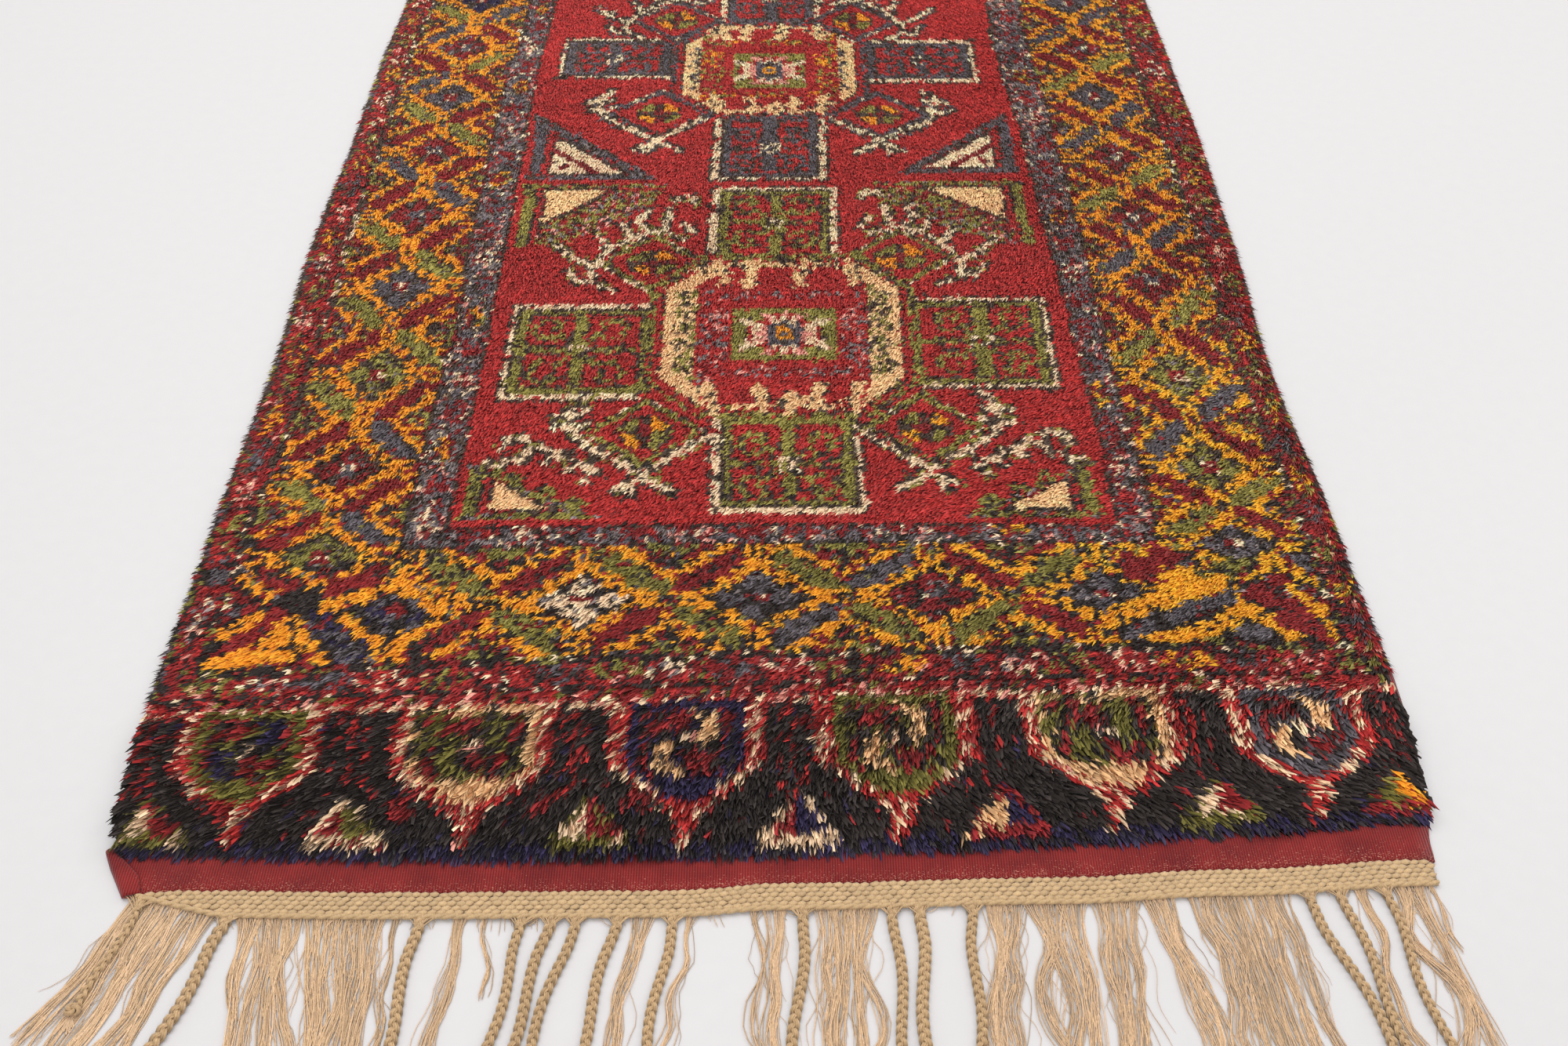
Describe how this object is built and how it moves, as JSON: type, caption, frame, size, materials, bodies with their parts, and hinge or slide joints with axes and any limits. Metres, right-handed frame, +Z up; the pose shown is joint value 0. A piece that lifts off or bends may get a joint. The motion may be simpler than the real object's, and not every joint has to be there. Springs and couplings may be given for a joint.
{
  "type": "anatolian pile rug",
  "caption": "Hand-knotted woollen village rug lying flat, with a deep tufted panel, bare woven skirts, plaited end bands and free warp fringes.",
  "frame": {"origin": "centre of the rug's outer box on the floor it lies on", "axes": "+X across the rug, +Y along it away from the end with the dark tufted panel, +Z up out of the pile"},
  "size_m": [1.258, 2.6242, 0.0241],
  "materials": {
    "wool_pile": "knotted wool pile, matt",
    "warp_yarn": "undyed twisted yarn, matt"
  },
  "bodies": {
    "root": {"woven_rug": "wool_pile", "plaited_band_near": "warp_yarn", "plaited_band_far": "warp_yarn", "fringe_near": "warp_yarn", "fringe_far": "warp_yarn"}
  },
  "joints": []
}
